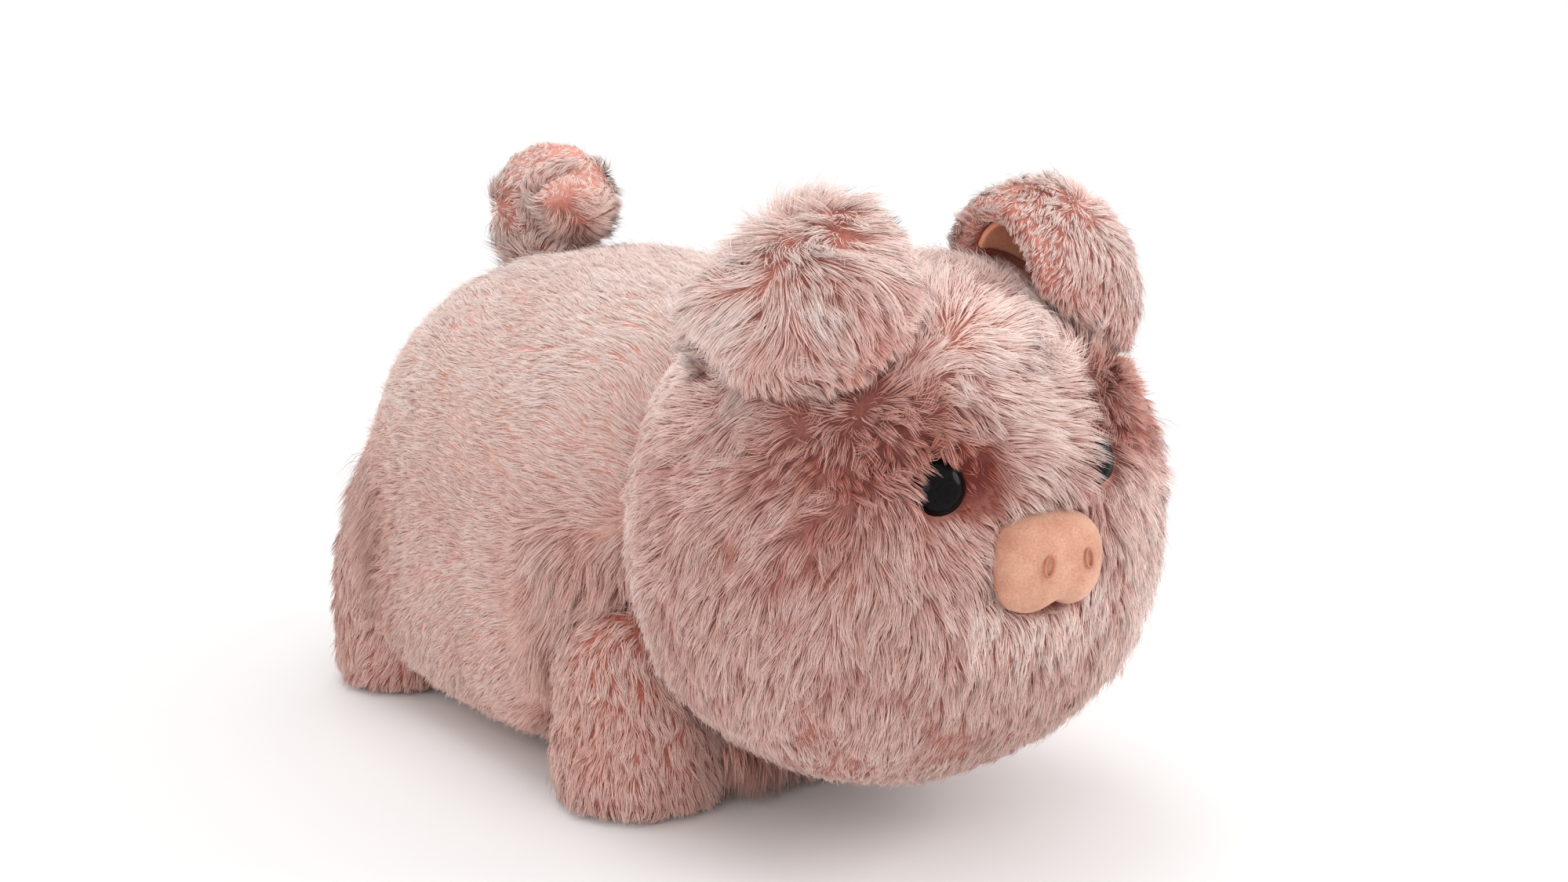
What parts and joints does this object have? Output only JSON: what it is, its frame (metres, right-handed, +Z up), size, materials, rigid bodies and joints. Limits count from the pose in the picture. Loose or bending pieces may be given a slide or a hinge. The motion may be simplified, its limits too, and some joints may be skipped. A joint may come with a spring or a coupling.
{
  "type": "plush pig",
  "caption": "Stuffed pile-fabric pig with a round nodding head, folded soft ears, stub legs, a curled tail, a velour snout and domed eyes.",
  "frame": {"origin": "on the floor under the middle of the toy's length and width, level with the soles", "axes": "+X to the pig's left, +Y towards its tail, +Z up; the snout points along -Y"},
  "size_m": [0.1604, 0.3327, 0.1977],
  "materials": {
    "pile_rose": "dusty rose pile fabric, 8 to 10 mm pile with frosted tips",
    "pile_head": "dusty rose pile fabric, 12 to 16 mm shaggy pile",
    "pile_pale": "pale rose pile fabric with frosted tips",
    "pile_leg": "dusty rose pile fabric, brushed down",
    "sole_cloth": "short-pile cloth",
    "velour_snout": "short peach velour",
    "velour_lining": "short peach velour, deeper in tone",
    "thread": "satin-stitched embroidery thread",
    "fibre": "loose white fibre fill",
    "eye_black": "polished black",
    "washer_white": "moulded, unpolished"
  },
  "bodies": {
    "body": {"body_side_left": "pile_rose", "body_side_right": "pile_rose", "belly_panel": "pile_rose", "body_stuffing": "fibre"},
    "head": {"head_crown_panel": "pile_pale", "head_side_left": "pile_head", "head_side_right": "pile_head", "head_stuffing": "fibre", "snout_cover": "velour_snout", "snout_stuffing": "fibre", "nostril_stitch_left": "thread", "nostril_stitch_right": "thread", "eye_left": "eye_black", "eye_right": "eye_black", "eye_washer_left": "washer_white", "eye_washer_right": "washer_white"},
    "ear_left": {"ear_outer_left": "pile_pale", "ear_lining_left": "velour_lining"},
    "ear_right": {"ear_outer_right": "pile_pale", "ear_lining_right": "velour_lining"},
    "leg_front_left": {"leg_cover_front_left": "pile_leg", "leg_sole_front_left": "sole_cloth", "leg_stuffing_front_left": "fibre"},
    "leg_front_right": {"leg_cover_front_right": "pile_leg", "leg_sole_front_right": "sole_cloth", "leg_stuffing_front_right": "fibre"},
    "leg_rear_left": {"leg_cover_rear_left": "pile_leg", "leg_sole_rear_left": "sole_cloth", "leg_stuffing_rear_left": "fibre"},
    "leg_rear_right": {"leg_cover_rear_right": "pile_leg", "leg_sole_rear_right": "sole_cloth", "leg_stuffing_rear_right": "fibre"},
    "tail": {"tail_cover": "pile_pale", "tail_stuffing": "fibre"}
  },
  "joints": [
    {"name": "head_nod", "type": "hinge", "parent": "body", "child": "head", "pos_m": [0, 0.01242, 0.0918], "axis": [1, 0, 0], "range_deg": [-5, 4], "stiffness_Nm_per_rad": 20},
    {"name": "ear_lift_left", "type": "hinge", "parent": "head", "child": "ear_left", "pos_m": [0.046, -0.08158, 0.16059], "axis": [-0.848, 0, 0.5299], "range_deg": [-2, 40], "stiffness_Nm_per_rad": 0.08},
    {"name": "ear_lift_right", "type": "hinge", "parent": "head", "child": "ear_right", "pos_m": [-0.046, -0.08158, 0.16059], "axis": [-0.848, 0, -0.5299], "range_deg": [-2, 40], "stiffness_Nm_per_rad": 0.08},
    {"name": "leg_swing_front_left", "type": "hinge", "parent": "body", "child": "leg_front_left", "pos_m": [0.054, -0.02508, 0.046], "axis": [1, 0, 0], "range_deg": [-8, 8], "stiffness_Nm_per_rad": 0.8},
    {"name": "leg_swing_front_right", "type": "hinge", "parent": "body", "child": "leg_front_right", "pos_m": [-0.054, -0.02508, 0.046], "axis": [1, 0, 0], "range_deg": [-8, 8], "stiffness_Nm_per_rad": 0.8},
    {"name": "leg_swing_rear_left", "type": "hinge", "parent": "body", "child": "leg_rear_left", "pos_m": [0.054, 0.12642, 0.046], "axis": [1, 0, 0], "range_deg": [-8, 8], "stiffness_Nm_per_rad": 0.8},
    {"name": "leg_swing_rear_right", "type": "hinge", "parent": "body", "child": "leg_rear_right", "pos_m": [-0.054, 0.12642, 0.046], "axis": [1, 0, 0], "range_deg": [-8, 8], "stiffness_Nm_per_rad": 0.8},
    {"name": "tail_wag", "type": "hinge", "parent": "body", "child": "tail", "pos_m": [0, 0.10627, 0.14795], "axis": [0, -0.9066, 0.422], "range_deg": [-12, 12], "stiffness_Nm_per_rad": 0.05}
  ]
}
